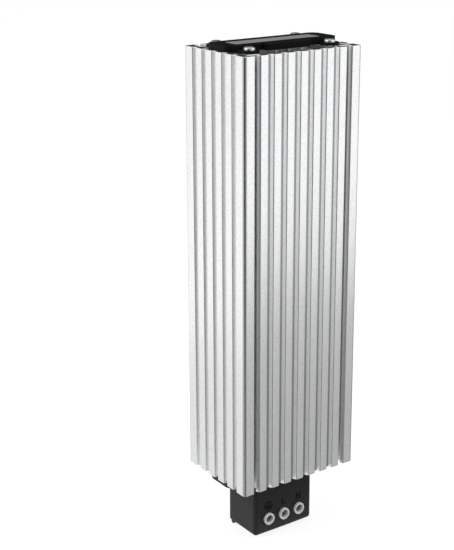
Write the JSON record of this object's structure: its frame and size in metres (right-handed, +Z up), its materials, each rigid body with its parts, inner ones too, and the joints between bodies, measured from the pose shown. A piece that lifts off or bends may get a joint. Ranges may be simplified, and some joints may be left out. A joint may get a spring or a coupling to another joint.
{
  "type": "ptc enclosure heater",
  "caption": "Upright ribbed aluminium heater for switch cabinets, with a ceramic PTC stack inside, a terminal housing below and a clip for a 35 mm rail on the back.",
  "frame": {"origin": "middle of the rail seat on the clip's back face, at the rail's centre line", "axes": "+Z up along the profile, +Y out of the back towards the rail, +X to the right seen from the front"},
  "size_m": [0.07, 0.0559, 0.2582],
  "materials": {
    "anodised_aluminium": "natural matt anodised extrusion",
    "black_plastic": "fine spark-eroded grain",
    "plate_foil": "satin, bare",
    "zinc_plated_steel": "bright zinc plating",
    "natural_polyamide": "translucent natural polyamide",
    "clamp_brass": "turned, plain",
    "electrode_aluminium": "rolled strip",
    "ptc_ceramic": "sintered ceramic with metallised faces",
    "insulating_board": "mica board",
    "spring_steel": "stainless spring strip",
    "copper": "tinned copper",
    "lead_sleeve": "silicone"
  },
  "bodies": {
    "root": {"heatsink_profile": "anodised_aluminium", "top_cap": "black_plastic", "label_plate": "plate_foil", "top_cap_screws": "zinc_plated_steel", "terminal_housing": "black_plastic", "housing_cover": "black_plastic", "housing_screws": "zinc_plated_steel", "terminal_strip": "natural_polyamide", "clamp_tube_pe": "clamp_brass", "clamp_tube_l": "clamp_brass", "clamp_tube_n": "clamp_brass", "clamp_screw_pe": "zinc_plated_steel", "clamp_screw_l": "zinc_plated_steel", "clamp_screw_n": "zinc_plated_steel", "lead_l": "lead_sleeve", "lead_n": "lead_sleeve", "earth_strap": "copper", "insulator_front": "insulating_board", "electrode_front": "electrode_aluminium", "ptc_tile_1": "ptc_ceramic", "ptc_tile_2": "ptc_ceramic", "ptc_tile_3": "ptc_ceramic", "ptc_tile_4": "ptc_ceramic", "ptc_tile_5": "ptc_ceramic", "tile_frame": "insulating_board", "electrode_back": "electrode_aluminium", "insulator_back": "insulating_board", "pressure_leaf": "spring_steel", "rail_clip": "spring_steel", "clip_screws": "zinc_plated_steel"}
  },
  "joints": []
}
